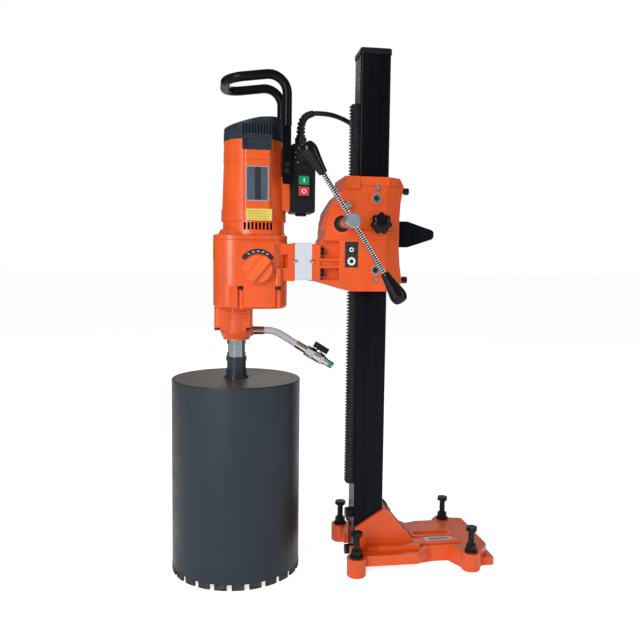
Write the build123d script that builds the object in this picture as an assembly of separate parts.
from build123d import *
import math
import os

# Core drill rig. Millimetres, +Z up, origin on the column's axis at floor level.
# +X points away from the drill, towards the base's long end; -Y is the operator's side.

# ---------------------------------------------------------------- driving dimensions
COLUMN_SIDE = 60.0
COLUMN_WALL = 5.0
COLUMN_TOP = 1018.0
COLUMN_FOOT = 6.0
COLUMN_CORNER = 4.0
CAP_HEIGHT = 12.0
GROOVE_WIDTH = 24.0
GROOVE_DEPTH = 1.0

RACK_MODULE = 2.0
RACK_FOOT = 159.0
RACK_TEETH = 122
RACK_BACKING = 9.75
RACK_WIDTH = 25.0
PINION_TEETH = 26
PINION_WIDTH = 26.0
REDUCTION_MODULE = 1.5
REDUCTION_TEETH = 14
CRANK_WHEEL_TEETH = 36
REDUCTION_ANGLE = 75.0
BACKLASH = 0.12
RUN_GAP = 0.05

BASE_TOP = 36.0
DECK_TOP = 42.0
FOOT_RADIUS = 19.0
FOOT_HEIGHT = 37.0
FOOT_HALF_WIDTH = 91.0
FOOT_LEFT = -36.0
FOOT_RIGHT = 199.0
BASE_RIGHT = 245.0
ANCHOR_SLOT = (104.0, 182.0)
ANCHOR_SLOT_WIDTH = 18.0
SCREW_RADIUS = 6.0
SCREW_TOP = 88.0
SCREW_TIP = 3.0
CHEEK_INNER = 30.6
CHEEK_WALL = 8.0

CARRIAGE_BOTTOM = 557.0
CARRIAGE_TOP = 779.0
CARRIAGE_HALF = COLUMN_SIDE / 2 + 22.0
CARRIAGE_BORE = COLUMN_SIDE / 2 + 4.0
CRANK_Z = 687.3
CRANK_SHAFT_RADIUS = 10.0
CRANK_HUB_FACE = -172.0
CRANK_HUB_RADIUS = 13.5
CRANK_ROD_RADIUS = 5.0
CRANK_ANGLE = 122.3
CRANK_REACH = (171.0, 157.0)
GRIP_LENGTH = 62.0
KNOB_X = 8.0
KNOB_Z = 688.8

MOUNT_Z = (576.0, 648.0)
MOUNT_HALF = 50.0
MOUNT_FACE = -125.0
MOUNT_PLATE = 16.5
SPACER_LENGTH = 33.0
FLANGE_PLATE = 14.0
MOUNT_BOLT_RADIUS = 4.0
MOUNT_BOLT_Z = (593.0, 635.0)
MOUNT_BOLT_Y = 42.0

SPINDLE_X = -268.0
MOTOR_X = -235.0
SPINDLE_RADIUS = 19.0
SPINDLE_END = 425.0
NOSE_BOTTOM = 459.0
GEARBOX_BOTTOM = 522.0
GEARBOX_SPLIT = 654.0
GEARBOX_LEFT = -314.0
GEARBOX_RIGHT = -170.0
GEARBOX_HALF = 60.0
GEARBOX_WALL = 6.0
SEAM = 0.8
SELECTOR_X = -230.0
SELECTOR_Z = 599.0
MOTOR_FOOT = 690.0
MOTOR_HEAD = 843.0
MOTOR_FOOT_RADIUS = 62.0
MOTOR_HEAD_RADIUS = 58.0
VENT_COUNT = 10
MOTOR_WALL = 4.0
STAGE1 = (10, 34, 1.25)
STAGE2 = (11, 33, 2.0)
SHAFT_RADIUS = 8.0

BIT_RADIUS = 127.0
BIT_WALL = 2.5
BIT_TOP = 382.0
BIT_SEGMENT_HEIGHT = 11.0
BIT_SEGMENTS = 24
BIT_SEGMENT_LENGTH = 24.0
BIT_SEGMENT_WALL = 3.6
COUPLING_RADIUS = 20.5

HANDLE_RADIUS = 9.0
HANDLE_X = -176.0
HANDLE_HALF = 56.0
HANDLE_TIP = -291.0
HANDLE_TOP = 959.0

SWITCH_X = (-166.0, -119.0)
SWITCH_Y = (-44.0, 16.0)
SWITCH_Z = (708.0, 838.0)
BUTTON_SIZE = (20.0, 17.0)
BUTTON_Z = (748.5, 769.0)
BUTTON_X = -141.5
DIAL_RADIUS = 14.5
DIAL_Z = 815.5

CORD_RADIUS = 4.8
HOSE_RADIUS = 7.2
HOSE_Z = 476.0

PARTS = {}


# ---------------------------------------------------------------- helpers
def keep(name, *solids):
    """Adds solids to the node of that name."""
    PARTS.setdefault(name, []).extend(solids)


def box(x0, x1, y0, y1, z0, z1):
    centre = Pos((x0 + x1) / 2, (y0 + y1) / 2, (z0 + z1) / 2)
    return centre * Box(x1 - x0, y1 - y0, z1 - z0)


def rod(start, end, radius):
    """A round bar between two points."""
    span = Vector(*end) - Vector(*start)
    return Solid.make_cylinder(radius, span.length, Plane(origin=start, z_dir=span))


def taper(start, end, r0, r1):
    """A round bar that narrows from one radius to another."""
    span = Vector(*end) - Vector(*start)
    return Solid.make_cone(r0, r1, span.length, Plane(origin=start, z_dir=span))


def along_y(outline, y0, y1):
    """A prism whose outline is given as (x, z)."""
    face = make_face(Polyline(*[(x, y0, z) for x, z in outline], close=True))
    return extrude(face, amount=y1 - y0, dir=(0, 1, 0))


def along_z(outline, z0, z1):
    """A prism whose outline is given as (x, y)."""
    face = make_face(Polyline(*[(x, y, z0) for x, y in outline], close=True))
    return extrude(face, amount=z1 - z0, dir=(0, 0, 1))


def hexagon(start, end, flats):
    """A hexagonal bar between two points, by its width across flats."""
    span = Vector(*end) - Vector(*start)
    plane = Plane(origin=start, z_dir=span)
    return extrude(plane * RegularPolygon(flats / 2, 6, major_radius=False), amount=span.length)


def bolt(head, tip, radius, flats, head_height, washer=0.0):
    """A hexagon bolt. head is the seat under its head and tip is the end of its shank."""
    inward = (Vector(*tip) - Vector(*head)).normalized()
    top = Vector(*head) - inward * head_height
    body = hexagon(head, tuple(top), flats) + rod(head, tip, radius)
    if washer:
        body += rod(head, tuple(Vector(*head) - inward * 2.0), washer)
    return body


def socket_screw(head, tip, radius, head_radius, head_height):
    """A cap screw with a hexagon socket in its head."""
    inward = (Vector(*tip) - Vector(*head)).normalized()
    top = Vector(*head) - inward * head_height
    body = rod(tuple(top), head, head_radius) + rod(head, tip, radius)
    floor = top + inward * head_height * 0.6
    return body - hexagon(tuple(top), tuple(floor), radius * 1.6)


def involute_point(base, roll):
    """Radius and polar angle of an involute after the given roll angle."""
    return base * math.hypot(1.0, roll), roll - math.atan(roll)


def gear(teeth, module, width, bore, turn=0.0):
    """A spur gear on Z with its foot at z = 0. turn is the polar angle of a tooth's middle."""
    pitch = teeth * module / 2
    base = pitch * math.cos(math.radians(20))
    tip = pitch + module
    root = pitch - 1.25 * module
    half = (math.pi * module / 2 - BACKLASH) / 2 / pitch
    at_pitch = involute_point(base, math.sqrt((pitch / base) ** 2 - 1))[1]
    last_roll = math.sqrt((tip / base) ** 2 - 1)
    first_roll = math.sqrt(max((root / base) ** 2 - 1, 0.0))
    flank = []
    for step in range(5):
        radius, angle = involute_point(base, first_roll + (last_roll - first_roll) * step / 4)
        flank.append((radius, max(half + at_pitch - angle, 0.01)))
    if root < base:
        flank.insert(0, (root, flank[0][1]))
    points = []
    for tooth in range(teeth):
        middle = math.radians(turn) + 2 * math.pi * tooth / teeth
        for radius, angle in flank:
            points.append((radius * math.cos(middle - angle), radius * math.sin(middle - angle)))
        for radius, angle in reversed(flank):
            points.append((radius * math.cos(middle + angle), radius * math.sin(middle + angle)))
    wheel = along_z(points, 0, width)
    if bore:
        wheel -= rod((0, 0, -1), (0, 0, width + 1), bore)
    return wheel


def ring(start, end, outer, inner):
    return rod(start, end, outer) - rod(start, end, inner)


def rounded_block(x0, x1, y0, y1, z0, z1, corner):
    """A box with its upright edges rounded."""
    plate = Pos((x0 + x1) / 2, (y0 + y1) / 2, z0) * RectangleRounded(x1 - x0, y1 - y0, corner)
    return extrude(plate, amount=z1 - z0)


# ---------------------------------------------------------------- stand
def base_casting():
    """Cast base: low plate, raised deck, four bored feet, two cheeks that hold the column."""
    left = along_z([(-30, -88), (90, -88), (118, -62), (118, 62), (96, 98), (-30, 98)], 15, BASE_TOP)
    waist = [(88, -60), (131, -50), (165, -50), (186, -96), (214, -98), (BASE_RIGHT, -57),
             (BASE_RIGHT, 92), (214, 98), (180, 100), (172, 86), (135, 86), (88, 70)]
    right = along_z(waist, 2, BASE_TOP)
    right = fillet(right.edges().filter_by(Axis.Z).group_by(Axis.X)[-1], 6)
    deck = along_z([(-24, -58), (100, -58), (112, -46), (196, -44), (196, 60), (100, 60), (-24, 60)],
                   BASE_TOP - 4, DECK_TOP - 1.5)
    lip = box(BASE_RIGHT - 30, BASE_RIGHT + 8, -78, 84, 0, 17)
    ledge = box(15, 100, -66, -56, BASE_TOP - 6, DECK_TOP + 3)
    base = left + right + deck + lip + ledge
    for x in (FOOT_LEFT, FOOT_RIGHT):
        for side in (-1, 1):
            y = side * FOOT_HALF_WIDTH
            boss = rod((x, y, 0), (x, y, FOOT_HEIGHT), FOOT_RADIUS)
            base += fillet(boss.edges().group_by(Axis.Z)[0], 3)
            inner = x + (14 if x < 0 else -14)
            near, far = sorted((y - side * 24, y + side * 12))
            base += box(min(x, inner), max(x, inner), near, far, 6, BASE_TOP - 1)
    bridge_left = box(-38, -29.9, -92, -CHEEK_INNER - 1.4, 15, BASE_TOP)
    bridge_back = box(-38, -29.9, CHEEK_INNER + 1.4, 92, 15, BASE_TOP)
    base += bridge_left + bridge_back
    cheek = [(-28, 30), (-28, 75), (25, 109), (40, 109), (97, DECK_TOP - 2), (97, 30)]
    for side in (-1, 1):
        low, high = sorted((side * CHEEK_INNER, side * (CHEEK_INNER + CHEEK_WALL)))
        base += along_y(cheek, low, high)
    back_wall = COLUMN_SIDE / 2 + 0.6
    base += box(back_wall, back_wall + 10, -CHEEK_INNER - 1, CHEEK_INNER + 1, 4, 105)
    base -= box(-60, back_wall, -CHEEK_INNER, CHEEK_INNER, COLUMN_FOOT - 2, 130)
    base += box(-28, back_wall + 4, -CHEEK_INNER - 4, CHEEK_INNER + 4, 0, COLUMN_FOOT)
    slot = box(ANCHOR_SLOT[0] + 9, ANCHOR_SLOT[1] - 9, -ANCHOR_SLOT_WIDTH / 2, ANCHOR_SLOT_WIDTH / 2, -5, 60)
    for x in (ANCHOR_SLOT[0] + 9, ANCHOR_SLOT[1] - 9):
        slot += rod((x, 0, -5), (x, 0, 60), ANCHOR_SLOT_WIDTH / 2)
    rim = box(ANCHOR_SLOT[0] - 6, ANCHOR_SLOT[1] + 6, -16, 16, 20, DECK_TOP + 1)
    base += rim
    base -= slot
    for low, high in ((-78, -20), (20, 78)):
        base -= box(122, 168, max(low, -42), min(high, 74), -1, BASE_TOP - 8)
        base -= box(46, 100, max(low, -54), min(high, 54), -1, BASE_TOP - 8)
    for x in (FOOT_LEFT, FOOT_RIGHT):
        for side in (-1, 1):
            y = side * FOOT_HALF_WIDTH
            base -= rod((x, y, -1), (x, y, FOOT_HEIGHT + 1), SCREW_RADIUS + RUN_GAP)
            base -= box(x - 40, x + 40, y - 40, y + 40, FOOT_HEIGHT, FOOT_HEIGHT + 30) - box(
                -200, 400, -CHEEK_INNER - CHEEK_WALL - 22, CHEEK_INNER + CHEEK_WALL + 22, 0, 200)
    for z in (16.0, 95.0):
        base -= rod((20, 0, z), (60, 0, z), 7.0)
    return base


def levelling_screw(x, y):
    body = bolt((x, y, SCREW_TOP - 8), (x, y, SCREW_TIP), SCREW_RADIUS, 20, 8)
    groove = ring((x, y, SCREW_TIP), (x, y, SCREW_TIP + 2), SCREW_RADIUS + 1, SCREW_RADIUS - 1)
    return body - groove


def lock_nut(x, y):
    nut = rod((x, y, FOOT_HEIGHT), (x, y, FOOT_HEIGHT + 4), 13)
    nut += hexagon((x, y, FOOT_HEIGHT + 4), (x, y, FOOT_HEIGHT + 15), 19)
    return nut - rod((x, y, FOOT_HEIGHT - 1), (x, y, FOOT_HEIGHT + 20), SCREW_RADIUS + RUN_GAP)


def column_section(side, corner):
    return Pos(0, 0, COLUMN_FOOT) * RectangleRounded(side, side, corner)


def column_tube():
    height = COLUMN_TOP - COLUMN_FOOT
    inner = COLUMN_SIDE - 2 * COLUMN_WALL
    tube = extrude(column_section(COLUMN_SIDE, COLUMN_CORNER), amount=height)
    tube -= extrude(column_section(inner, COLUMN_CORNER / 2), amount=height)
    half = COLUMN_SIDE / 2
    for side in (-1, 1):
        low, high = sorted((side * (half - GROOVE_DEPTH), side * (half + 1)))
        tube -= box(-GROOVE_WIDTH / 2, GROOVE_WIDTH / 2, low, high, COLUMN_FOOT - 1, COLUMN_TOP + 1)
    for z in (16.0, 95.0):
        tube -= rod((-40, 0, z), (40, 0, z), 6.1)
    for z in rack_screw_heights():
        tube -= rod((-40, 0, z), (-20, 0, z), 3.0)
    return tube


def column_cap():
    inner = COLUMN_SIDE - 2 * COLUMN_WALL - 0.4
    plug = Pos(0, 0, COLUMN_TOP - 14) * RectangleRounded(inner, inner, COLUMN_CORNER / 2)
    lid = Pos(0, 0, COLUMN_TOP) * RectangleRounded(COLUMN_SIDE + 3, COLUMN_SIDE + 3, COLUMN_CORNER + 1)
    top = extrude(lid, amount=CAP_HEIGHT)
    top = fillet(top.edges().group_by(Axis.Z)[-1], 4)
    return top + extrude(plug, amount=14)


def rack_screw_heights():
    pitch = math.pi * RACK_MODULE
    return [RACK_FOOT + pitch * (3 + 29 * i) for i in range(5)]


RACK_FACE = -COLUMN_SIDE / 2
RACK_PITCH_X = RACK_FACE - RACK_BACKING - 1.25 * RACK_MODULE + 0.25
PINION_RADIUS = PINION_TEETH * RACK_MODULE / 2
CRANK_X = RACK_PITCH_X - PINION_RADIUS


def gear_rack():
    """Straight rack: one notched outline, so each tooth flank is a flat face."""
    pitch = math.pi * RACK_MODULE
    root_x = RACK_PITCH_X + 1.25 * RACK_MODULE
    tip_x = RACK_PITCH_X - RACK_MODULE
    slope = math.tan(math.radians(20))
    half = pitch / 4 - BACKLASH / 4
    points = [(RACK_FACE, RACK_FOOT)]
    for tooth in range(RACK_TEETH):
        middle = RACK_FOOT + pitch * (tooth + 0.5)
        points.append((root_x, middle - half - 1.25 * RACK_MODULE * slope))
        points.append((tip_x, middle - half + RACK_MODULE * slope))
        points.append((tip_x, middle + half - RACK_MODULE * slope))
        points.append((root_x, middle + half + 1.25 * RACK_MODULE * slope))
    points.append((RACK_FACE, RACK_FOOT + pitch * RACK_TEETH))
    rack = along_y(points, -RACK_WIDTH / 2, RACK_WIDTH / 2)
    for z in rack_screw_heights():
        rack -= rod((-60, 0, z), (-20, 0, z), 3.0)
        rack -= rod((-60, 0, z), (RACK_FACE - 5, 0, z), 5.2)
    return rack


def stand():
    keep("base_casting", base_casting())
    number = 0
    for x in (FOOT_LEFT, FOOT_RIGHT):
        for y in (-FOOT_HALF_WIDTH, FOOT_HALF_WIDTH):
            number += 1
            keep(f"levelling_screw_{number}", levelling_screw(x, y))
            keep("lock_nuts", lock_nut(x, y))
    keep("column_tube", column_tube())
    keep("column_cap", column_cap())
    keep("gear_rack", gear_rack())
    for z in rack_screw_heights():
        keep("stand_screws", socket_screw((RACK_FACE - 5, 0, z), (RACK_FACE + 7, 0, z), 3.0, 5.0, 4.5))
    for z in (16.0, 95.0):
        keep("stand_screws", bolt((RACK_FACE - 2.5, 0, z), (46, 0, z), 6.0, 19, 10, 0)
             + rod((RACK_FACE, 0, z), (RACK_FACE - 2.5, 0, z), 11))


# ---------------------------------------------------------------- carriage
REDUCTION_DISTANCE = (REDUCTION_TEETH + CRANK_WHEEL_TEETH) * REDUCTION_MODULE / 2
REDUCTION_X = CRANK_X + REDUCTION_DISTANCE * math.cos(math.radians(REDUCTION_ANGLE))
REDUCTION_Z = CRANK_Z + REDUCTION_DISTANCE * math.sin(math.radians(REDUCTION_ANGLE))
WHEEL_Y = (-30.0, -18.0)
BEARING_OUTER = 16.0
PAD_Z = (599.0, 738.0)
SIDE_PAD_Z = (579.0, 758.0)


def carriage_outline():
    """Front view of the carriage casting, as (x, z)."""
    return [(-62.9, CARRIAGE_TOP), (52, CARRIAGE_TOP), (61, 765), (54, 731), (52, 698), (52, 641),
            (54.5, 611), (61, 573), (28, CARRIAGE_BOTTOM), (-49, CARRIAGE_BOTTOM), (-108.5, 574),
            (-108.5, 650), (-99.6, 662), (-99.6, 676), (-94, 712), (-76, 741), (-66, 750), (-66, 770)]


def carriage_casting():
    half = CARRIAGE_HALF
    body = along_y(carriage_outline(), -half, half)
    plan = [(-140, -half), (20, -half), (62, -26), (62, 26), (20, half), (-140, half)]
    body &= along_z(plan, 500, 820)
    band = along_y([(-62.9, 763), (-62.9, CARRIAGE_TOP), (48, CARRIAGE_TOP), (48, 763)], -half - 3, half + 3)
    body += band & along_z([(-140, -60), (18, -60), (62, -28), (62, 28), (18, 60), (-140, 60)], 500, 820)
    body += box(-62.9, -34, -half - 6, half + 6, 755, CARRIAGE_TOP)
    rib = along_y([(-30, 659), (-30, 675), (50, 675), (50, 659)], -half - 4.2, half + 4.2)
    body += rib & along_z([(-140, -60), (18, -60), (56, -28), (56, 28), (18, 60), (-140, 60)], 500, 820)
    for side in (-1, 1):
        out = side * (half + 3)
        inner = side * (half - 2)
        body += rod((CRANK_X, inner, CRANK_Z), (CRANK_X, out, CRANK_Z), 30)
        body += rod((CRANK_X, inner, CRANK_Z), (CRANK_X, out + side * 2, CRANK_Z), 24)
        body += rod((REDUCTION_X, inner, REDUCTION_Z), (REDUCTION_X, out - side * 1, REDUCTION_Z), 15)
        body += rod((KNOB_X, inner, KNOB_Z), (KNOB_X, side * (half + 4), KNOB_Z), 14)
        for z in PAD_Z:
            body += rod((0, inner, z), (0, out, z), 14)
    case_radius = (CRANK_WHEEL_TEETH / 2 + 1) * REDUCTION_MODULE + 4.0
    body += rod((CRANK_X, WHEEL_Y[0] - 5, CRANK_Z), (CRANK_X, PINION_WIDTH / 2 + 5, CRANK_Z), case_radius)
    plate = box(MOUNT_FACE, MOUNT_FACE + MOUNT_PLATE, -MOUNT_HALF, MOUNT_HALF, *MOUNT_Z)
    body += fillet(plate.edges().filter_by(Axis.X), 3)
    pocket_left = MOUNT_FACE + MOUNT_PLATE
    for z0, z1 in ((578.5, 602), (620, 655)):
        for side in (-1, 1):
            low, high = sorted((side * 34, side * (half + 2)))
            body -= box(pocket_left, -72, low, high, z0, z1)
    body -= box(pocket_left, -72, -half - 1, -46, 606, 616)
    bore = CARRIAGE_BORE
    body -= box(-bore, bore, -bore, bore, 500, 820)
    rack_tip = RACK_PITCH_X - RACK_MODULE
    body -= box(rack_tip - 3, -bore + 1, -RACK_WIDTH / 2 - 2, RACK_WIDTH / 2 + 2, 500, 820)
    tip = PINION_RADIUS + RACK_MODULE
    body -= rod((CRANK_X, -PINION_WIDTH / 2 - 2, CRANK_Z), (CRANK_X, PINION_WIDTH / 2 + 2, CRANK_Z), tip + 2)
    wheel_tip = (CRANK_WHEEL_TEETH / 2 + 1) * REDUCTION_MODULE
    y0, y1 = WHEEL_Y
    body -= rod((CRANK_X, y0 - 2, CRANK_Z), (CRANK_X, -PINION_WIDTH / 2, CRANK_Z), wheel_tip + 1.5)
    body -= rod((REDUCTION_X, y0 - 2, REDUCTION_Z), (REDUCTION_X, y1 + 2, REDUCTION_Z), 14)
    for side in (-1, 1):
        far = side * (half + 10)
        body -= rod((CRANK_X, 0, CRANK_Z), (CRANK_X, far, CRANK_Z), BEARING_OUTER)
    body -= rod((REDUCTION_X, -half - 10, REDUCTION_Z), (REDUCTION_X, -20, REDUCTION_Z), 8.0)
    body -= rod((REDUCTION_X, -20, REDUCTION_Z), (REDUCTION_X, -6, REDUCTION_Z), 8.0)
    body -= rod((KNOB_X, -half - 10, KNOB_Z), (KNOB_X, -bore + 5, KNOB_Z), 5.0 + RUN_GAP)
    for z in PAD_Z:
        body -= rod((0, -half - 10, z), (0, half + 10, z), 10.0)
    for z in (SIDE_PAD_Z[0], SIDE_PAD_Z[1]):
        body -= rod((0, -half - 10, z), (0, half + 10, z), 3.0)
        body -= rod((0, 0, z), (90, 0, z), 4.0)
    for y in (-MOUNT_BOLT_Y, MOUNT_BOLT_Y):
        for z in MOUNT_BOLT_Z:
            body -= rod((-150, y, z), (pocket_left + 1, y, z), MOUNT_BOLT_RADIUS)
    for y in (-MOUNT_HALF, MOUNT_HALF):
        body -= rod((MOUNT_FACE - 1, y, 614), (MOUNT_FACE + 5, y, 614), 3.5)
    for z in (665.0, 651.0):
        body -= rod((30, 0, z + 6), (70, 0, z + 6), 3.0)
    return body


def guide_pads():
    """Plastic pads that slide on the column's faces and in its two grooves."""
    half = COLUMN_SIDE / 2
    wide = GROOVE_WIDTH / 2 - 0.6
    pads = []
    for z in PAD_Z:
        for side in (-1, 1):
            low, high = sorted((side * (half - GROOVE_DEPTH + 0.1), side * CARRIAGE_BORE))
            pads.append(box(-wide, wide, low, high, z - 14, z + 14))
            low, high = sorted((side * 15.5, side * 27))
            pads.append(box(-CARRIAGE_BORE, -half - 0.1, low, high, z - 14, z + 14))
    for z in SIDE_PAD_Z:
        pads.append(box(half + 0.1, CARRIAGE_BORE, -22, 22, z - 12, z + 12))
    return pads


def pad_adjuster(side, z):
    """Threaded sleeve with a hexagon socket that presses a guide pad."""
    outer = side * (CARRIAGE_HALF + 4.5)
    inner = side * CARRIAGE_BORE
    sleeve = rod((0, inner, z), (0, outer, z), 10.0)
    return sleeve - hexagon((0, outer - side * 9, z), (0, outer + side, z), 11)


def crank_train():
    """Shaft, pinion and wheel of the crank, and the reduction pinion beside it."""
    span = PINION_WIDTH / 2
    rack_pitch = math.pi * RACK_MODULE
    gap_index = (CRANK_Z - RACK_FOOT) / rack_pitch
    shift = (gap_index - math.floor(gap_index) - 0.0) * rack_pitch
    turn = -math.degrees(shift / PINION_RADIUS)
    lay = Plane(origin=(CRANK_X, span, CRANK_Z), x_dir=(1, 0, 0), z_dir=(0, -1, 0))
    pinion = lay * gear(PINION_TEETH, RACK_MODULE, PINION_WIDTH, 0, turn)
    wheel_plane = Plane(origin=(CRANK_X, WHEEL_Y[1], CRANK_Z), x_dir=(1, 0, 0), z_dir=(0, -1, 0))
    width = WHEEL_Y[1] - WHEEL_Y[0]
    wheel = wheel_plane * gear(CRANK_WHEEL_TEETH, REDUCTION_MODULE, width, 0, REDUCTION_ANGLE)
    shaft = rod((CRANK_X, CARRIAGE_HALF + 4, CRANK_Z), (CRANK_X, CRANK_HUB_FACE + 30, CRANK_Z),
                CRANK_SHAFT_RADIUS)
    neck = rod((CRANK_X, span, CRANK_Z), (CRANK_X, WHEEL_Y[0], CRANK_Z), CRANK_SHAFT_RADIUS + 4)
    keep("crank_shaft", shaft + pinion + wheel + neck)
    reduction_plane = Plane(origin=(REDUCTION_X, WHEEL_Y[1] + 1, REDUCTION_Z), x_dir=(1, 0, 0),
                            z_dir=(0, -1, 0))
    facing = REDUCTION_ANGLE + 180 + 180 / REDUCTION_TEETH
    small = reduction_plane * gear(REDUCTION_TEETH, REDUCTION_MODULE, width + 2, 0, facing)
    axle = rod((REDUCTION_X, -8, REDUCTION_Z), (REDUCTION_X, -CARRIAGE_HALF - 4, REDUCTION_Z), 5.0)
    end = hexagon((REDUCTION_X, -CARRIAGE_HALF - 4, REDUCTION_Z),
                  (REDUCTION_X, -CARRIAGE_HALF - 14, REDUCTION_Z), 13)
    keep("reduction_shaft", small + axle + end)


def crank():
    """Hub with a threaded bar through it and a tapered grip on each end."""
    hub = rod((CRANK_X, CRANK_HUB_FACE, CRANK_Z), (CRANK_X, CRANK_HUB_FACE + 44, CRANK_Z), CRANK_HUB_RADIUS)
    hub = chamfer(hub.edges().group_by(Axis.Y)[0], 1.2)
    hub -= rod((CRANK_X, CRANK_HUB_FACE + 14 + 14, CRANK_Z), (CRANK_X, 0, CRANK_Z), CRANK_SHAFT_RADIUS)
    angle = math.radians(CRANK_ANGLE)
    way = Vector(math.cos(angle), 0, math.sin(angle))
    centre = Vector(CRANK_X, CRANK_HUB_FACE + 14, CRANK_Z)
    low = centre - way * CRANK_REACH[0]
    high = centre + way * CRANK_REACH[1]
    bar_low = low + way * 8
    bar_high = high - way * 8
    hub -= rod(tuple(bar_low), tuple(bar_high), CRANK_ROD_RADIUS)
    keep("crank_hub", hub)
    keep("crank_bar", rod(tuple(bar_low), tuple(bar_high), CRANK_ROD_RADIUS))
    for end, sign in ((low, -1), (high, 1)):
        root = end - way * sign * GRIP_LENGTH
        shoulder = end - way * sign * 14
        grip = taper(tuple(root), tuple(shoulder), 8.0, 15.5)
        cap = taper(tuple(shoulder), tuple(end), 15.5, 10.0)
        body = grip + cap
        body -= rod(tuple(root - way * sign), tuple(end - way * sign * 8), CRANK_ROD_RADIUS)
        keep("crank_grips", body)


def star_knob():
    """Seven-lobed lock knob on a screw that bears on a pad."""
    face = -CARRIAGE_HALF - 4.4
    knob = rod((KNOB_X, face, KNOB_Z), (KNOB_X, face - 16, KNOB_Z), 17)
    for lobe in range(7):
        angle = math.radians(90 + lobe * 360 / 7)
        x = KNOB_X + 14.7 * math.cos(angle)
        z = KNOB_Z + 14.7 * math.sin(angle)
        knob += rod((x, face - 2, z), (x, face - 15, z), 7.0)
    knob += rod((KNOB_X, face, KNOB_Z), (KNOB_X, -CARRIAGE_BORE - 0.5, KNOB_Z), 5.0)
    return knob


def cord_hook():
    """Tapered, cranked sheet-steel hook, screwed to the carriage's right side."""
    thick = 3.0
    plan = [(52.2, -12), (52.2, -12 - thick), (74, -12 - thick), (132, -2 - thick), (132, -2), (74, -12)]
    blade = along_z(plan, 640, 700)
    front = along_y([(50, 645), (74, 645), (128, 662), (132, 667), (132, 677), (128, 681), (74, 697),
                     (50, 697)],
                    -20, 10)
    blade &= front
    foot = box(55.2, 58.2, -15, 13, 645, 697)
    arm = (blade + foot) - box(40, 55.2, -30, 30, 600, 740)
    return arm - rod((50, 6, 671), (62, 6, 671), 3.2)


def carriage():
    keep("carriage_casting", carriage_casting())
    keep("guide_pads", *guide_pads())
    for side in (-1, 1):
        for z in PAD_Z:
            keep("pad_adjusters", pad_adjuster(side, z))
        for z in SIDE_PAD_Z:
            seat = (0, side * (CARRIAGE_HALF + (3.0 if z > 700 else 0.0)), z)
            tip = (0, side * (CARRIAGE_BORE + 1), z)
            keep("pad_adjusters", socket_screw(seat, tip, 3.0, 5.0, 3.0))
    for z in SIDE_PAD_Z:
        keep("carriage_bolts", bolt((68, 0, z), (CARRIAGE_BORE, 0, z), 4.0, 12, 10))
    for side in (-1, 1):
        outer = side * (CARRIAGE_HALF + 5)
        inner = side * (CARRIAGE_HALF - 9)
        keep("crank_bearings", ring((CRANK_X, outer, CRANK_Z), (CRANK_X, inner, CRANK_Z), BEARING_OUTER,
                                    CRANK_SHAFT_RADIUS + RUN_GAP))
    for y0, y1 in ((-CARRIAGE_HALF - 2, -CARRIAGE_HALF + 8), (-15.0, -6.5)):
        keep("crank_bearings", ring((REDUCTION_X, y0, REDUCTION_Z), (REDUCTION_X, y1, REDUCTION_Z), 8.0,
                                        5.0 + RUN_GAP))
    crank_train()
    crank()
    keep("lock_knob", star_knob())
    keep("cord_hook", cord_hook())
    spacer = box(MOUNT_FACE - SPACER_LENGTH, MOUNT_FACE, -MOUNT_HALF, MOUNT_HALF, MOUNT_Z[0] + 2,
                 MOUNT_Z[1] + 2)
    spacer = chamfer(spacer.edges().filter_by(Axis.X), 1.0)
    head = MOUNT_FACE + MOUNT_PLATE
    tip = MOUNT_FACE - SPACER_LENGTH - FLANGE_PLATE
    for y in (-MOUNT_BOLT_Y, MOUNT_BOLT_Y):
        for z in MOUNT_BOLT_Z:
            spacer -= rod((tip, y, z), (head, y, z), MOUNT_BOLT_RADIUS)
            keep("carriage_bolts", socket_screw((head, y, z), (tip, y, z), MOUNT_BOLT_RADIUS, 6.5, 8.0))
    for x in (MOUNT_FACE, MOUNT_FACE - SPACER_LENGTH):
        for side in (-1, 1):
            pin = rod((x - 4, side * MOUNT_HALF, 614), (x + 4, side * MOUNT_HALF, 614), 3.5)
            spacer -= pin
            keep("key_pins", pin)
    keep("spacer_block", spacer)


# ---------------------------------------------------------------- drill motor
FLANGE_FACE = MOUNT_FACE - SPACER_LENGTH
LAYSHAFT_Y = (STAGE1[0] + STAGE1[1]) * STAGE1[2] / 2
STAGE2_DISTANCE = (STAGE2[0] + STAGE2[1]) * STAGE2[2] / 2
ARMATURE_X = SPINDLE_X + math.sqrt(STAGE2_DISTANCE ** 2 - LAYSHAFT_Y ** 2)
STAGE2_TURN = math.degrees(math.atan2(LAYSHAFT_Y, ARMATURE_X - SPINDLE_X))
BEARING_PLATE_Z = (560.0, 640.0)


def gearbox_block(inset, z0, z1):
    return rounded_block(GEARBOX_LEFT + inset, GEARBOX_RIGHT - inset, -GEARBOX_HALF + inset,
                         GEARBOX_HALF - inset, z0, z1, 44 - inset)


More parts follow.
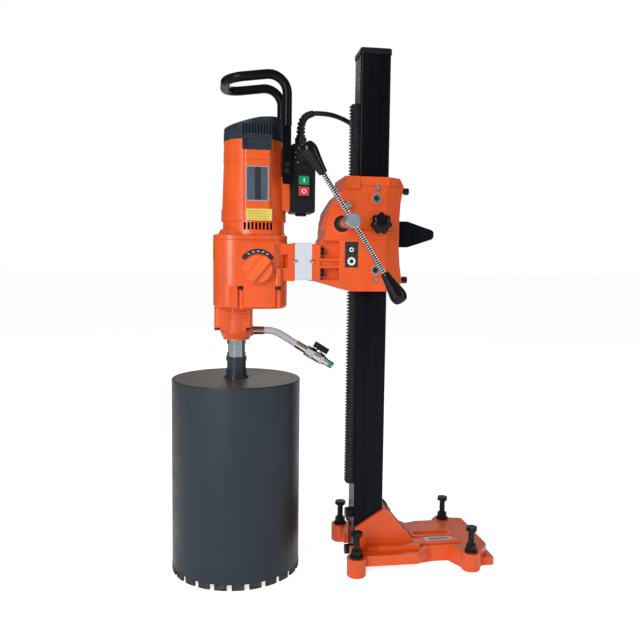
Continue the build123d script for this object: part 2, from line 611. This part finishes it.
def gearbox_housing():
    body = gearbox_block(0, GEARBOX_BOTTOM, GEARBOX_SPLIT)
    body = fillet(body.edges().group_by(Axis.Z)[0], 8)
    body = chamfer(body.edges().group_by(Axis.Z)[-1], SEAM)
    body += box(SELECTOR_X - 31, SELECTOR_X + 31, -GEARBOX_HALF - 5, -GEARBOX_HALF + 8, SELECTOR_Z, 650)
    body += rod((SELECTOR_X, -GEARBOX_HALF - 5, SELECTOR_Z), (SELECTOR_X, -GEARBOX_HALF + 8, SELECTOR_Z), 31)
    for z0, z1 in ((576, 601), (627, 648)):
        body += box(GEARBOX_RIGHT - 24, FLANGE_FACE - FLANGE_PLATE + 1, -MOUNT_HALF, MOUNT_HALF, z0, z1)
    body += box(GEARBOX_RIGHT - 24, FLANGE_FACE - FLANGE_PLATE + 1, -MOUNT_HALF + 14, MOUNT_HALF - 14,
                590, 640)
    body += box(FLANGE_FACE - FLANGE_PLATE, FLANGE_FACE, -MOUNT_HALF, MOUNT_HALF, *MOUNT_Z)
    body -= gearbox_block(GEARBOX_WALL, GEARBOX_BOTTOM + 8, GEARBOX_SPLIT + 1)
    for x0, x1 in ((-297, -256), (-197, -185)):
        body -= box(x0, x1, -GEARBOX_HALF - 6, -GEARBOX_HALF + 2.5, GEARBOX_BOTTOM - 1, 566)
    for x in (-263, -191):
        body += rod((x, -GEARBOX_HALF + 8.0, GEARBOX_BOTTOM + 4), (x, -GEARBOX_HALF + 8.0, 600), 8)
        body -= rod((x, -GEARBOX_HALF + 3, 500), (x, -GEARBOX_HALF + 3, 566), 5.5)
        body -= rod((x, -GEARBOX_HALF + 3, 560), (x, -GEARBOX_HALF + 3, 590), 3.0)
    body += rod((SPINDLE_X, 0, GEARBOX_BOTTOM), (SPINDLE_X, 0, 548), 40)
    body += rod((ARMATURE_X, LAYSHAFT_Y, GEARBOX_BOTTOM + 2), (ARMATURE_X, LAYSHAFT_Y, 548), 16)
    body -= rod((SPINDLE_X, 0, 500), (SPINDLE_X, 0, 560), 30)
    body -= rod((ARMATURE_X, LAYSHAFT_Y, 536), (ARMATURE_X, LAYSHAFT_Y, 560), 11)
    for y in (-MOUNT_BOLT_Y, MOUNT_BOLT_Y):
        for z in MOUNT_BOLT_Z:
            body -= rod((FLANGE_FACE + 1, y, z), (FLANGE_FACE - FLANGE_PLATE - 1, y, z), MOUNT_BOLT_RADIUS)
    for side in (-1, 1):
        corner = side * MOUNT_HALF
        body -= rod((FLANGE_FACE - 4, corner, 614), (FLANGE_FACE + 4, corner, 614), 3.5)
    body -= rod((SELECTOR_X, -GEARBOX_HALF - 8, SELECTOR_Z), (SELECTOR_X, -GEARBOX_HALF + 20, SELECTOR_Z),
                8 + RUN_GAP)
    return body


def gearbox_cover():
    """Cover that closes the gearbox and carries the motor."""
    foot = gearbox_block(0, GEARBOX_SPLIT, 664)
    foot = chamfer(foot.edges().group_by(Axis.Z)[0], SEAM)
    foot = fillet(foot.edges().group_by(Axis.Z)[-1], 3)
    neck = Pos(MOTOR_X, 0, 664) * Circle(MOTOR_FOOT_RADIUS - 2)
    neck = extrude(neck, amount=MOTOR_FOOT - 664)
    shoulder = Pos((GEARBOX_LEFT + GEARBOX_RIGHT) / 2 + 3, 0, 664) * RectangleRounded(132, 112, 42)
    cover = foot + extrude(shoulder, amount=10, taper=30) + neck
    cover -= gearbox_block(GEARBOX_WALL, GEARBOX_SPLIT - 1, 658)
    cover -= rod((MOTOR_X, 0, 668), (MOTOR_X, 0, MOTOR_FOOT + 1), MOTOR_FOOT_RADIUS - 8)
    for i in range(8):
        x = -257 + i * 7.2
        cover -= box(x, x + 4.4, -MOTOR_FOOT_RADIUS - 4, -MOTOR_FOOT_RADIUS + 20, 673, 687)
        cover -= box(x, x + 4.4, MOTOR_FOOT_RADIUS - 20, MOTOR_FOOT_RADIUS + 4, 673, 687)
    cover -= rod((ARMATURE_X, 0, 650), (ARMATURE_X, 0, 680), 13)
    cover += rod((SPINDLE_X, 0, 646), (SPINDLE_X, 0, 658), 22)
    cover += rod((ARMATURE_X, LAYSHAFT_Y, 646), (ARMATURE_X, LAYSHAFT_Y, 658), 16)
    cover -= rod((SPINDLE_X, 0, 640), (SPINDLE_X, 0, 654), 16)
    cover -= rod((ARMATURE_X, LAYSHAFT_Y, 640), (ARMATURE_X, LAYSHAFT_Y, 654), 11)
    cover -= rod((ARMATURE_X, 0, 640), (ARMATURE_X, 0, 690), 13)
    return cover


def nose_housing():
    axis = SPINDLE_X
    body = rod((axis, 0, 474), (axis, 0, GEARBOX_BOTTOM), 32)
    body += taper((axis, 0, NOSE_BOTTOM + 4), (axis, 0, 474), 28, 32)
    body += rod((axis, 0, NOSE_BOTTOM), (axis, 0, NOSE_BOTTOM + 4), 26)
    body += rounded_block(-312, -239, -30, 30, 478, GEARBOX_BOTTOM, 8)
    for z in (500.0, 506.0, 512.0):
        body += box(axis - 19, axis + 19, -34, -30, z, z + 2.5)
    body += rod((axis + 20, 0, HOSE_Z), (axis + 32, 0, HOSE_Z), 11)
    body -= rod((axis, 0, NOSE_BOTTOM - 1), (axis, 0, GEARBOX_BOTTOM + 1), SPINDLE_RADIUS + 1)
    body -= rod((axis, 0, 492), (axis, 0, 514), 26)
    body -= rod((axis, 0, HOSE_Z), (axis + 40, 0, HOSE_Z), 5)
    for x in (-306.0, -246.0):
        body -= box(x - 4.6, x + 4.6, -31, -19, 477, 484)
        body -= rod((x, -24, 478), (x, -24, GEARBOX_BOTTOM + 1), 2.5)
    return body


def motor_shell(radius_foot, radius_head, z0, z1):
    return taper((MOTOR_X, 0, z0), (MOTOR_X, 0, z1), radius_foot, radius_head)


def motor_housing():
    body = motor_shell(MOTOR_FOOT_RADIUS + 1.5, MOTOR_FOOT_RADIUS + 1.0, MOTOR_FOOT, 712)
    body += motor_shell(MOTOR_FOOT_RADIUS - 0.5, MOTOR_HEAD_RADIUS + 0.4, 712, 803)
    body += motor_shell(MOTOR_HEAD_RADIUS + 1.2, MOTOR_HEAD_RADIUS, 803, MOTOR_HEAD)
    body += rounded_block(-258, -206, -MOTOR_FOOT_RADIUS - 1.5, 0, MOTOR_FOOT, 821, 6)
    body += box(-190, -167, -30, 22, 712, 776)
    body -= motor_shell(MOTOR_FOOT_RADIUS - MOTOR_WALL, MOTOR_HEAD_RADIUS - MOTOR_WALL, MOTOR_FOOT - 1,
                        MOTOR_HEAD + 1)
    body -= box(-254, -210, -MOTOR_FOOT_RADIUS - 3, -MOTOR_FOOT_RADIUS + 0.2, 726, 792)
    body -= box(-262, -202, -MOTOR_FOOT_RADIUS - 3, -MOTOR_FOOT_RADIUS - 0.3, 802, 803.8)
    groove = ring((MOTOR_X, 0, 802), (MOTOR_X, 0, 803.8), MOTOR_HEAD_RADIUS + 12, MOTOR_HEAD_RADIUS - 0.2)
    body -= groove - box(-262, -202, -80, 0, 800, 806)
    return body


def motor_cap():
    """Slanted end cap with vent slots."""
    cap = taper((MOTOR_X, 0, MOTOR_HEAD), (MOTOR_X, 0, 893), MOTOR_HEAD_RADIUS + 1, MOTOR_HEAD_RADIUS - 1)
    cap -= along_y([(-300, 865), (-228, 883), (-200, 887), (-160, 887), (-160, 930), (-300, 930)], -80, 80)
    tab = box(-260, -205, -MOTOR_HEAD_RADIUS - 4, -MOTOR_HEAD_RADIUS + 18, 822, 870)
    tab = fillet(tab.edges().filter_by(Axis.Y), 4)
    cap += tab - box(-254, -211, -MOTOR_HEAD_RADIUS - 5, -MOTOR_HEAD_RADIUS - 2.4, 827, 842)
    cap -= rod((MOTOR_X, 0, MOTOR_HEAD - 30), (MOTOR_X, 0, 862), MOTOR_HEAD_RADIUS - 3.5)
    cap -= motor_shell(MOTOR_HEAD_RADIUS + 1.4, MOTOR_HEAD_RADIUS + 0.1, 800, MOTOR_HEAD)
    for i in range(VENT_COUNT):
        x = -257.5 + i * 5.5
        rise = 5.0 * math.sin(math.pi * (i + 2) / (VENT_COUNT + 3))
        front = -MOTOR_HEAD_RADIUS
        cap -= box(x - 1.4, x + 1.4, front - 5, front + 1.5, 847 + rise, 866 + rise)
        y = math.sqrt(MOTOR_HEAD_RADIUS ** 2 - (x - MOTOR_X) ** 2)
        cap -= box(x - 1.4, x + 1.4, y - 3.2, y + 3.2, 847 + rise, 866 + rise)
    return cap


def gear_train():
    """Armature pinion, layshaft with wheel and pinion, and the spindle's wheel."""
    teeth1, teeth2, module1 = STAGE1
    teeth3, teeth4, module2 = STAGE2
    shaft = rod((ARMATURE_X, 0, 664), (ARMATURE_X, 0, 842), SHAFT_RADIUS)
    shaft += rod((ARMATURE_X, 0, 622), (ARMATURE_X, 0, 664), 5.0)
    shaft += Pos(ARMATURE_X, 0, 618) * gear(teeth1, module1, 24, 0, 90 + 180 / teeth1)
    core = rod((ARMATURE_X, 0, 722), (ARMATURE_X, 0, 786), 29)
    for slot in range(14):
        angle = 2 * math.pi * slot / 14
        x = ARMATURE_X + 29 * math.cos(angle)
        y = 29 * math.sin(angle)
        core -= rod((x, y, 720), (x, y, 790), 3.0)
    commutator = rod((ARMATURE_X, 0, 798), (ARMATURE_X, 0, 820), 16)
    keep("armature", shaft + core + commutator)
    fan = rod((ARMATURE_X, 0, 700), (ARMATURE_X, 0, 703), 44)
    fan += rod((ARMATURE_X, 0, 700), (ARMATURE_X, 0, 714), 13)
    for blade in range(11):
        fan += Pos(ARMATURE_X, 0, 0) * Rot(0, 0, blade * 360 / 11) * box(11, 43, -1, 1, 702, 714)
    fan -= rod((ARMATURE_X, 0, 690), (ARMATURE_X, 0, 720), SHAFT_RADIUS)
    keep("fan", fan)
    lay = rod((ARMATURE_X, LAYSHAFT_Y, 538), (ARMATURE_X, LAYSHAFT_Y, 653), 5.0)
    lay += Pos(ARMATURE_X, LAYSHAFT_Y, 619) * gear(teeth2, module1, 20, 0, -90)
    lay += Pos(ARMATURE_X, LAYSHAFT_Y, 560) * gear(teeth3, module2, 36, 0, STAGE2_TURN + 180 + 180 / teeth3)
    lay += rod((ARMATURE_X, LAYSHAFT_Y, 596), (ARMATURE_X, LAYSHAFT_Y, 619), 9)
    keep("layshaft", lay)
    wheel = Pos(SPINDLE_X, 0, 562) * gear(teeth4, module2, 30, 12.0, STAGE2_TURN)
    keep("spindle_gear", wheel)
    spindle = rod((SPINDLE_X, 0, SPINDLE_END), (SPINDLE_X, 0, 552), SPINDLE_RADIUS)
    spindle += rod((SPINDLE_X, 0, 552), (SPINDLE_X, 0, 652), 12.0)
    spindle += rod((SPINDLE_X, 0, 553), (SPINDLE_X, 0, 561), 24)
    spindle -= rod((SPINDLE_X, 0, SPINDLE_END - 1), (SPINDLE_X, 0, 470), 5)
    spindle -= rod((SPINDLE_X - 40, 0, 482), (SPINDLE_X + 40, 0, 482), 3)
    for side in (-1, 1):
        x0, x1 = sorted((SPINDLE_X + side * 16.5, SPINDLE_X + side * 30))
        spindle -= box(x0, x1, -30, 30, 432, 450)
    keep("spindle", spindle)


def bearings():
    for z0, z1 in ((526.0, 544.0), (495.0, 511.0)):
        outer = 30.0 if z0 > 520 else 26.0
        keep("drill_bearings", ring((SPINDLE_X, 0, z0), (SPINDLE_X, 0, z1), outer, SPINDLE_RADIUS + RUN_GAP))
    keep("drill_bearings", ring((SPINDLE_X, 0, 644), (SPINDLE_X, 0, 653), 16.0, 12.0 + RUN_GAP))
    for z0, z1 in ((538.0, 547.0), (644.0, 653.0)):
        keep("drill_bearings", ring((ARMATURE_X, LAYSHAFT_Y, z0), (ARMATURE_X, LAYSHAFT_Y, z1), 11.0, 5.0 + RUN_GAP))
    keep("drill_bearings", ring((ARMATURE_X, 0, 654), (ARMATURE_X, 0, 663.5), 13.0, 5.0 + RUN_GAP))
    upper = ring((ARMATURE_X, 0, 828), (ARMATURE_X, 0, 840), 18.0, SHAFT_RADIUS + RUN_GAP)
    keep("drill_bearings", upper)
    for z0 in (460.0, 515.0):
        seal = ring((SPINDLE_X, 0, z0), (SPINDLE_X, 0, z0 + 5), SPINDLE_RADIUS + 1.0, SPINDLE_RADIUS + RUN_GAP)
        keep("shaft_seals", seal)


def motor_inside():
    stator = ring((MOTOR_X, 0, 720), (MOTOR_X, 0, 788), 54, 33.5)
    for side in (-1, 1):
        low, high = sorted((side * 30, side * 60))
        stator -= box(MOTOR_X - 10, MOTOR_X + 10, low, high, 700, 800)
    stator += ring((MOTOR_X, 0, 720), (MOTOR_X, 0, 788), 54, 48)
    keep("stator", stator)
    plate = ring((MOTOR_X, 0, 826), (MOTOR_X, 0, 842), 54, 17.0)
    plate -= rod((ARMATURE_X, 0, 820), (ARMATURE_X, 0, 850), 18.0)
    for angle in (0, 90, 180, 270):
        hole = Rot(0, 0, angle + 45) * box(24, 46, -8, 8, 820, 850)
        plate -= Pos(MOTOR_X, 0, 0) * hole
    for side in (-1, 1):
        low, high = sorted((side * 22, side * 40))
        plate += box(MOTOR_X - 8, MOTOR_X + 8, low, high, 800, 828)
        plate -= box(ARMATURE_X - 4, ARMATURE_X + 4, -60, 60, 803, 815)
    keep("brush_holder", plate)
    for side in (-1, 1):
        low, high = sorted((side * 16.3, side * 36))
        keep("brushes", box(ARMATURE_X - 4, ARMATURE_X + 4, low, high, 803, 815))


def selector_knob():
    """Round knob with a raised bar, on a short spindle."""
    x = SELECTOR_X
    face = -GEARBOX_HALF - 5.3
    knob = taper((x, face, SELECTOR_Z), (x, face - 10, SELECTOR_Z), 28, 26)
    bar = along_y([(-27, -9), (27, -8), (27, 8), (-27, 9)], face - 18, face - 8)
    bar &= rod((0, face + 1, 0), (0, face - 30, 0), 27)
    knob += Pos(x, 0, SELECTOR_Z) * Rot(0, -50, 0) * bar
    knob += rod((x, face, SELECTOR_Z), (x, -GEARBOX_HALF + 16, SELECTOR_Z), 8)
    return knob


def core_bit():
    x = SPINDLE_X
    collar = rod((x, 0, BIT_TOP + 1), (x, 0, SPINDLE_END), COUPLING_RADIUS)
    collar += rod((x, 0, BIT_TOP), (x, 0, BIT_TOP + 5), COUPLING_RADIUS + 3.5)
    collar -= box(x - 30, x - 18.5, -30, 30, 400, 416)
    collar -= box(x + 18.5, x + 30, -30, 30, 400, 416)
    collar -= rod((x, 0, BIT_TOP - 1), (x, 0, SPINDLE_END + 1), 6)
    keep("bit_coupling", collar)
    barrel = rod((x, 0, BIT_SEGMENT_HEIGHT), (x, 0, BIT_TOP), BIT_RADIUS)
    barrel = fillet(barrel.edges().group_by(Axis.Z)[-1], 2.5)
    barrel -= rod((x, 0, 0), (x, 0, BIT_TOP - 8), BIT_RADIUS - BIT_WALL)
    barrel -= rod((x, 0, BIT_TOP - 20), (x, 0, BIT_TOP + 1), 6)
    keep("bit_barrel", barrel)
    outer = BIT_RADIUS + (BIT_SEGMENT_WALL - BIT_WALL) / 2
    inner = outer - BIT_SEGMENT_WALL
    crown = ring((x, 0, 0), (x, 0, BIT_SEGMENT_HEIGHT), outer, inner)
    reach = outer + 10
    half = BIT_SEGMENT_LENGTH / outer / 2
    for i in range(BIT_SEGMENTS):
        middle = 2 * math.pi * i / BIT_SEGMENTS
        wedge = [(x, 0)]
        for angle in (middle - half, middle, middle + half):
            wedge.append((x + reach * math.cos(angle), reach * math.sin(angle)))
        keep("bit_segments", crown & along_z(wedge, -1, BIT_SEGMENT_HEIGHT + 1))


def handle():
    corners = [(HANDLE_X, -HANDLE_HALF, 868), (HANDLE_X, -HANDLE_HALF, HANDLE_TOP + 8),
               (HANDLE_TIP, -HANDLE_HALF, HANDLE_TOP - 8), (HANDLE_TIP, HANDLE_HALF, HANDLE_TOP - 8),
               (HANDLE_X, HANDLE_HALF, HANDLE_TOP + 8), (HANDLE_X, HANDLE_HALF, 868)]
    path = FilletPolyline(*corners, radius=34)
    start = Plane(origin=path @ 0, z_dir=path % 0)
    keep("carry_handle", sweep(start * Circle(HANDLE_RADIUS), path=path))
    for side in (-1, 1):
        low, high = sorted((side * (HANDLE_HALF - 3), side * (HANDLE_HALF + 3)))
        strip = box(HANDLE_X - 8, HANDLE_X + 8, low, high, 760, 868)
        strip = fillet(strip.edges().filter_by(Axis.Y), 4)
        for z in (784.0, 796.0):
            seat = (HANDLE_X, side * (HANDLE_HALF + 3), z)
            tip = (HANDLE_X, side * (HANDLE_HALF - 5), z)
            strip -= rod(seat, tip, 3)
            keep("drill_screws", socket_screw(seat, tip, 3.0, 4.6, 3.0))
        keep("handle_brackets", strip)


def switch_box():
    x0, x1 = SWITCH_X
    y0, y1 = SWITCH_Y
    z0, z1 = SWITCH_Z
    shell = box(x0, x1, y0, y1, z0, z1)
    shell = fillet(shell.edges().filter_by(Axis.Y), 4)
    shell = chamfer(shell.edges().group_by(Axis.Y)[0], 2)
    shell -= box(x0 + 3, x1 - 3, y0 + 4, y1 - 3, z0 + 3, z1 - 3)
    width, height = BUTTON_SIZE
    for z in BUTTON_Z:
        shell -= box(BUTTON_X - width / 2 - 0.3, BUTTON_X + width / 2 + 0.3, y0 - 1, y0 + 8,
                     z - height / 2 - 0.3, z + height / 2 + 0.3)
    frame_x = width / 2 + 3
    rim = box(BUTTON_X - frame_x, BUTTON_X + frame_x, y0 - 3, y0 + 1, BUTTON_Z[0] - 13, BUTTON_Z[1] + 13)
    rim -= box(BUTTON_X - width / 2 - 0.3, BUTTON_X + width / 2 + 0.3, y0 - 4, y0 + 2,
               BUTTON_Z[0] - height / 2 - 0.3, BUTTON_Z[0] + height / 2 + 0.3)
    rim -= box(BUTTON_X - width / 2 - 0.3, BUTTON_X + width / 2 + 0.3, y0 - 4, y0 + 2,
               BUTTON_Z[1] - height / 2 - 0.3, BUTTON_Z[1] + height / 2 + 0.3)
    shell += rim
    shell -= rod((BUTTON_X, y0 - 2, DIAL_Z), (BUTTON_X, y0 + 8, DIAL_Z), 3 + RUN_GAP)
    keep("switch_box", shell)
    for name, z in (("stop_button", BUTTON_Z[0]), ("start_button", BUTTON_Z[1])):
        key = box(BUTTON_X - width / 2, BUTTON_X + width / 2, y0 - 5, y0 + 7, z - height / 2, z + height / 2)
        keep(name, chamfer(key.edges().group_by(Axis.Y)[0], 1))
    dial = rod((BUTTON_X, y0 - 0.3, DIAL_Z), (BUTTON_X, y0 - 9, DIAL_Z), DIAL_RADIUS)
    dial = chamfer(dial.edges().group_by(Axis.Y)[0], 1.5)
    dial += rod((BUTTON_X, y0 - 1, DIAL_Z), (BUTTON_X, y0 + 7, DIAL_Z), 3)
    keep("speed_dial", dial)
    plug = rod((BUTTON_X - 2, -14, z0), (BUTTON_X - 2, -14, z0 - 5), 11)
    keep("switch_box", plug)


# ---------------------------------------------------------------- power cord
CORD_EXIT = (-144.5, -12.0, SWITCH_Z[1])
RELIEF_TOP = 866.0
CORD_ROUTE = [(-144.5, -12, 866), (-144.5, -12, 880), (-137, -10, 896), (-121, -2, 905), (-101, 10, 908),
              (-79, 22, 909), (-56, 36, 906), (-33, 52, 900), (-12, 70, 888), (6, 88, 866), (18, 102, 834),
              (25, 112, 792), (29, 118, 738), (32, 120.5, 660), (33, 119.5, 560), (32, 118, 455),
              (33, 117, 350), (35, 117.5, 250), (37, 119, 165), (38.2, 121, 104), (40.6, 124.3, 62),
              (44, 128.6, 38), (50, 135.2, 19.5), (60, 144.5, 8.9), (70, 152.5, 5.7), (79.6, 159.8, 5.0)]
COIL_CENTRE = (50.0, 195.0)
COIL_MEAN_RADIUS = 46.0
COIL_HALF_WIDTH = 10.5
COIL_HEIGHT = 30.0
PLUG_START = (79.6, 230.2, 42.4)
PLUG_TURN = -40.0


def corner_radii(points):
    """Arc at each corner: 0.45 of its shorter run over the tangent of half the turn."""
    radii = []
    for before, here, after in zip(points, points[1:], points[2:]):
        a = Vector(*here) - Vector(*before)
        b = Vector(*after) - Vector(*here)
        half_turn = math.radians(a.get_angle(b)) / 2
        radii.append(0.45 * min(a.length, b.length) / math.tan(half_turn))
    return radii


def routed_tube(points, radius):
    path = FilletPolyline(*points, radius=corner_radii(points))
    return sweep(Plane(origin=path @ 0, z_dir=path % 0) * Circle(radius), path=path)


def mains_plug():
    """Two-pin plug that lies on the coil, in line with the end of its last turn."""
    body = rounded_block(-50, -14, -18, 18, -12, 12, 8)
    body += taper((0, 0, 0), (-16, 0, 0), 6.0, 10.0)
    for side in (-1, 1):
        body += rod((-49, side * 9.5, 0), (-69, side * 9.5, 0), 2.4)
    return Location(PLUG_START, (0, 0, PLUG_TURN)) * body


def power_cord():
    x, y, z = CORD_EXIT
    relief = rod((x, y, z), (x, y, z + 13), 12)
    relief += taper((x, y, z + 13), (x, y, RELIEF_TOP), 9.5, 7.5)
    keep("strain_relief", relief - rod((x, y, z - 1), (x, y, RELIEF_TOP + 1), CORD_RADIUS - 1.5))
    keep("power_cord", routed_tube(CORD_ROUTE, CORD_RADIUS))
    cx, cy = COIL_CENTRE
    outer = COIL_MEAN_RADIUS + COIL_HALF_WIDTH
    inner = COIL_MEAN_RADIUS - COIL_HALF_WIDTH
    coil = ring((cx, cy, 0.2), (cx, cy, COIL_HEIGHT), outer, inner)
    keep("cord_coil", coil)
    keep("mains_plug", mains_plug())


# ---------------------------------------------------------------- water feed
HOSE_ROUTE = [(-214, 0, 476), (-200, 0, 476), (-187, 0, 472), (-174, 0, 464.5), (-161.5, 0, 456.2),
              (-149, 0, 448.6)]


def water_feed():
    wall = SPINDLE_X + 32
    inlet = rod((wall, 0, HOSE_Z), (wall + 6, 0, HOSE_Z), 8.5) + rod((wall, 0, HOSE_Z), (-214, 0, HOSE_Z), 8.2)
    inlet += rod((wall, 0, HOSE_Z), (wall - 11, 0, HOSE_Z), 5)
    keep("hose_inlet", inlet - rod((wall - 12, 0, HOSE_Z), (-205, 0, HOSE_Z), 3))
    keep("water_hose", routed_tube(HOSE_ROUTE, HOSE_RADIUS))
    end = Vector(*HOSE_ROUTE[-1])
    way = (end - Vector(*HOSE_ROUTE[-2])).normalized()

    def at(distance):
        return tuple(end + way * distance)

    ferrule = rod(at(0), at(24), 8.2) + hexagon(at(24), at(33), 19)
    keep("hose_ferrule", ferrule - rod(at(-1), at(34), 4))
    body = hexagon(at(33), at(41), 21) + rod(at(41), at(57), 11.5) + hexagon(at(57), at(64), 19)
    across = Vector(-way.Z, 0, way.X)
    if across.Z < 0:
        across = across * -1
    middle = end + way * 49
    body += rod(tuple(middle), tuple(middle + across * 13), 6.5)
    body -= rod(at(32), at(65), 5)
    ball_seat = Plane(origin=tuple(middle), x_dir=(0, 1, 0), z_dir=tuple(across))
    body -= ball_seat * Sphere(8.0 + RUN_GAP)
    body -= rod(tuple(middle), tuple(middle + across * 14), 3.5 + RUN_GAP)
    keep("valve_body", body)
    nipple = rod(at(64), at(88), 7.0) + rod(at(68), at(72), 8.5) + rod(at(64), at(67), 9.2)
    keep("valve_nipple", nipple - rod(at(63), at(89), 4.5))
    top = middle + across * 13.4
    lever_plane = Plane(origin=tuple(top), x_dir=tuple(way), z_dir=tuple(across))
    lever = extrude(lever_plane * SlotOverall(33, 15), amount=12)
    lever += rod(tuple(top), tuple(top + across * 10), 5.0)
    lever += rod(tuple(top + across * 2), tuple(middle + across * 4), 3.5)
    ball = ball_seat * Sphere(8.0) - rod(at(38), at(60), 5)
    keep("valve_lever", lever + ball)


# ---------------------------------------------------------------- build and export
def main():
    stand()
    carriage()
    keep("gearbox_housing", gearbox_housing())
    keep("gearbox_cover", gearbox_cover())
    keep("nose_housing", nose_housing())
    keep("motor_housing", motor_housing())
    keep("motor_cap", motor_cap())
    for x in (-263, -191):
        keep("drill_screws", socket_screw((x, -GEARBOX_HALF + 3, 566), (x, -GEARBOX_HALF + 3, 589), 3.0, 5.3, 6.0))
    for x in (-306.0, -246.0):
        keep("drill_screws", socket_screw((x, -24, 484), (x, -24, GEARBOX_BOTTOM - 4), 2.5, 4.4, 3.5))
    gear_train()
    bearings()
    motor_inside()
    keep("selector_knob", selector_knob())
    core_bit()
    handle()
    switch_box()
    power_cord()
    water_feed()
    os.makedirs("parts", exist_ok=True)
    for name, solids in PARTS.items():
        shape = solids[0] if len(solids) == 1 else Compound(children=list(solids))
        export_step(shape, f"parts/{name}.step")
    print(len(PARTS), "nodes")


main()
